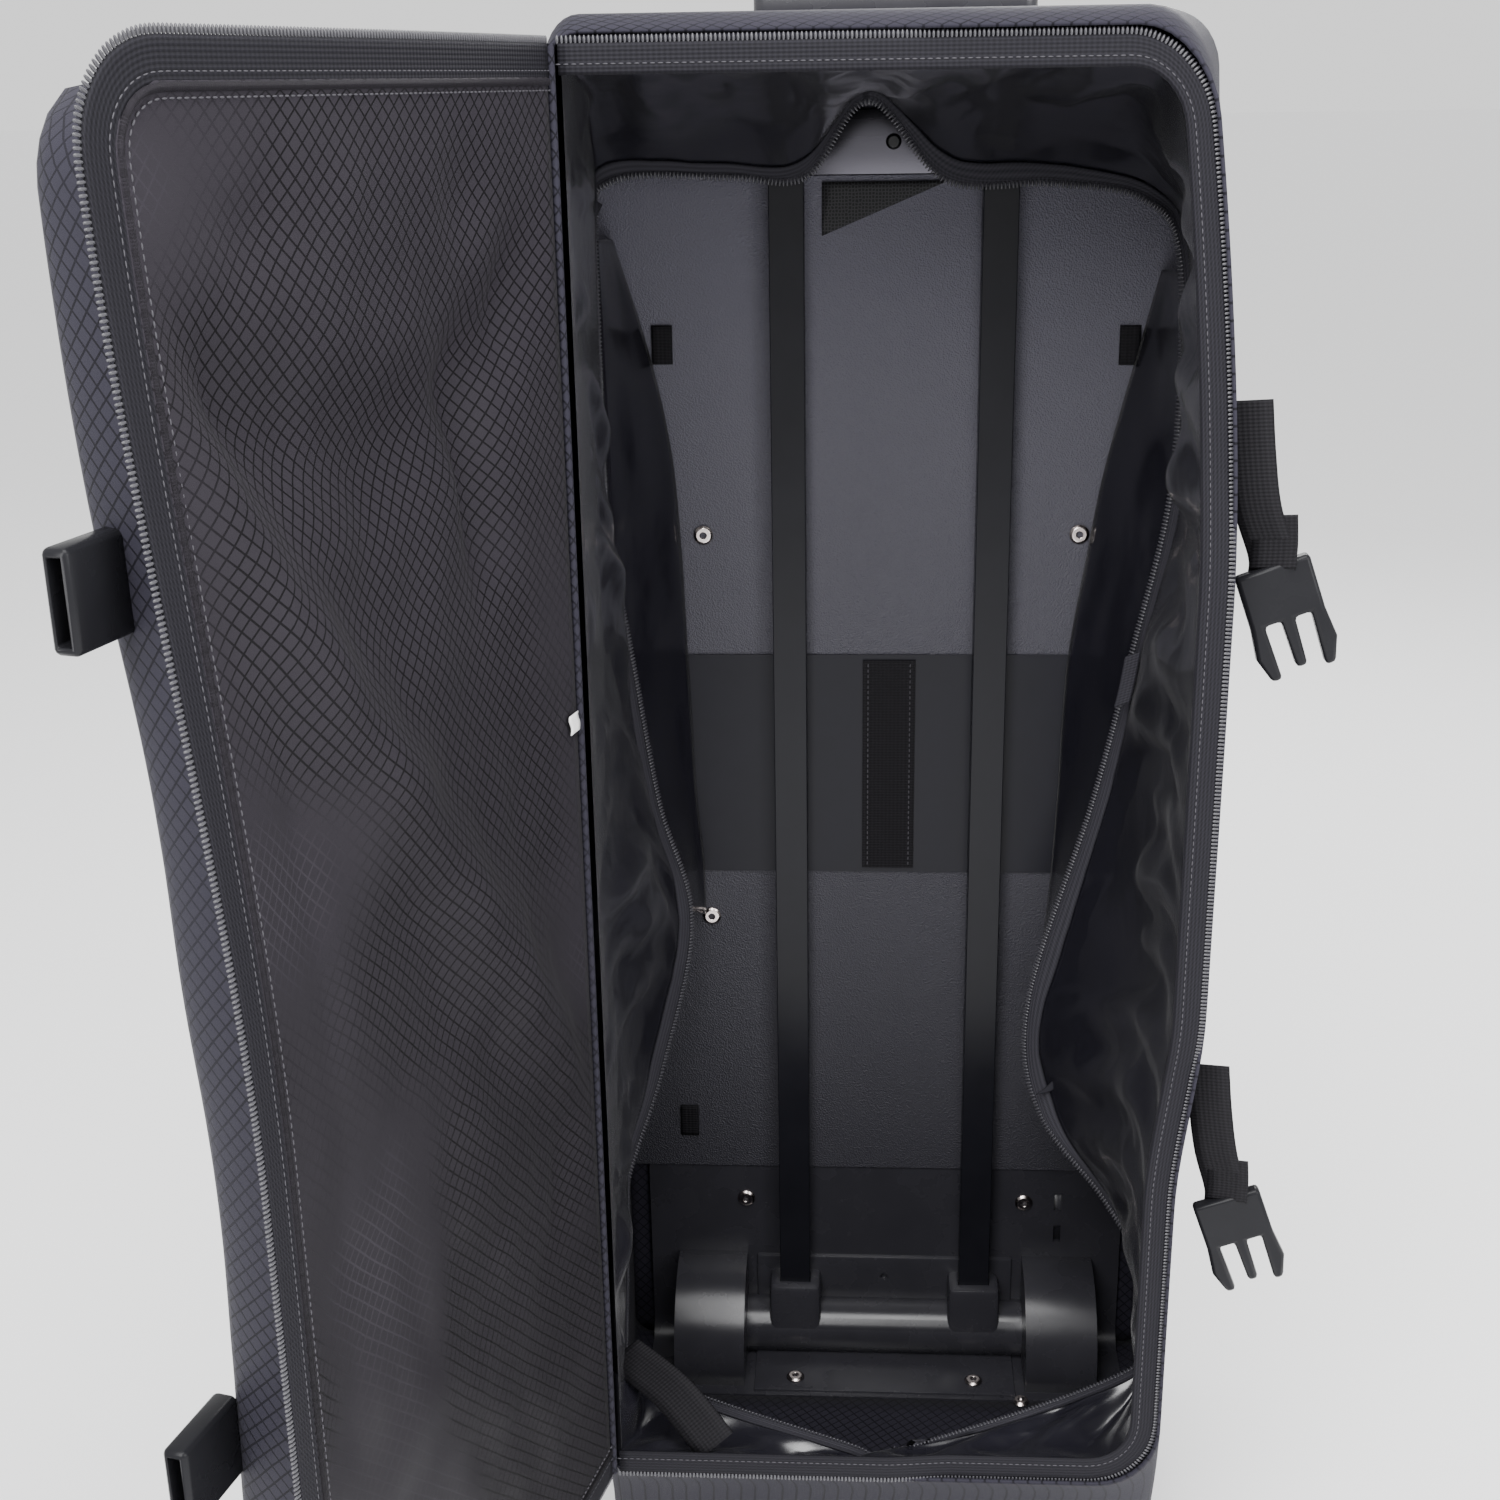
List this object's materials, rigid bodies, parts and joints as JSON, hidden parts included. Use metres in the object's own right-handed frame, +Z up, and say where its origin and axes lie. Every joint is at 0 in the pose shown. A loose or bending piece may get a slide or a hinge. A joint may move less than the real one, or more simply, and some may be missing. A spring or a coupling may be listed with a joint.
{
  "type": "hockey equipment bag",
  "caption": "Upright wheeled hockey equipment bag with a side-hinged zipped lid, lined main compartment, moulded wheel chassis and telescopic pull handle.",
  "frame": {"origin": "middle of the stand foot's flat sole, on the ground", "axes": "+Z up, +X to the bag's right seen from its open front, +Y to its back"},
  "size_m": [0.5788, 0.762, 1.1326],
  "materials": {
    "outer_fabric": "coated ripstop",
    "lining_nylon": "shiny nylon",
    "black_webbing": "ribbed webbing",
    "board_plastic": "pebbled board",
    "moulded_plastic": "moulded black",
    "black_tube": "satin black",
    "bright_tube": "satin",
    "nickel": "nickel plated",
    "tyre_rubber": "matt",
    "hub_plastic": "grey",
    "zipper_tape": "woven tape"
  },
  "bodies": {
    "bag": {"axle": "black_tube", "axle_cap_left": "moulded_plastic", "axle_cap_right": "moulded_plastic", "back_board": "board_plastic", "band_strip": "black_webbing", "board_rivet_lower_left": "nickel", "board_rivet_lower_right": "nickel", "board_rivet_upper_left": "nickel", "board_rivet_upper_right": "nickel", "bottom_wall": "outer_fabric", "bracket_screw": "nickel", "chassis_rivet_floor_left": "nickel", "chassis_rivet_floor_right": "nickel", "chassis_rivet_upper_left": "nickel", "chassis_rivet_upper_right": "nickel", "handle_housing": "moulded_plastic", "hinge_piping": "outer_fabric", "lining_bottom": "lining_nylon", "lining_left": "lining_nylon", "lining_right": "lining_nylon", "lining_top": "lining_nylon", "lower_front_panel": "outer_fabric", "male_buckle_lower": "moulded_plastic", "male_buckle_upper": "moulded_plastic", "outer_back": "outer_fabric", "outer_tube_left": "black_tube", "outer_tube_right": "black_tube", "rim_zipper_tape": "zipper_tape", "side_strap_lower": "black_webbing", "side_strap_upper": "black_webbing", "side_wall_left": "outer_fabric", "side_wall_right": "outer_fabric", "skid_rail_left": "moulded_plastic", "skid_rail_right": "moulded_plastic", "stand_foot": "moulded_plastic", "top_wall": "outer_fabric", "tube_band": "lining_nylon", "tube_bracket": "nickel", "wheel_chassis": "moulded_plastic"},
    "lid": {"female_buckle_lower": "moulded_plastic", "female_buckle_upper": "moulded_plastic", "lid_panel": "outer_fabric", "lid_pocket": "outer_fabric", "lid_strap_lower": "black_webbing", "lid_strap_upper": "black_webbing", "lid_zipper_tape": "zipper_tape"},
    "handle": {"grip": "moulded_plastic", "inner_tube_left": "bright_tube", "inner_tube_right": "bright_tube"},
    "button": {"release_button": "hub_plastic"},
    "wheel_left": {"tyre_left": "tyre_rubber", "wheel_hub_left": "hub_plastic"},
    "wheel_right": {"tyre_right": "tyre_rubber", "wheel_hub_right": "hub_plastic"}
  },
  "joints": [
    {"name": "lid_hinge", "type": "hinge", "parent": "bag", "child": "lid", "pos_m": [-0.187, -0.101, 0.6], "axis": [0, 0, 1], "range_deg": [-76, 104]},
    {"name": "handle_slide", "type": "slide", "parent": "bag", "child": "handle", "axis": [0, 0, 1], "range_m": [0, 0.4]},
    {"name": "button_press", "type": "slide", "parent": "handle", "child": "button", "axis": [0, 0, -1], "range_m": [0, 0.004], "stiffness_N_per_m": 300, "springref_m": -0.001},
    {"name": "wheel_left_spin", "type": "hinge", "parent": "bag", "child": "wheel_left", "pos_m": [-0.145, 0.235, 0.055], "axis": [1, 0, 0], "continuous": true},
    {"name": "wheel_right_spin", "type": "hinge", "parent": "bag", "child": "wheel_right", "pos_m": [0.145, 0.235, 0.055], "axis": [1, 0, 0], "continuous": true}
  ]
}
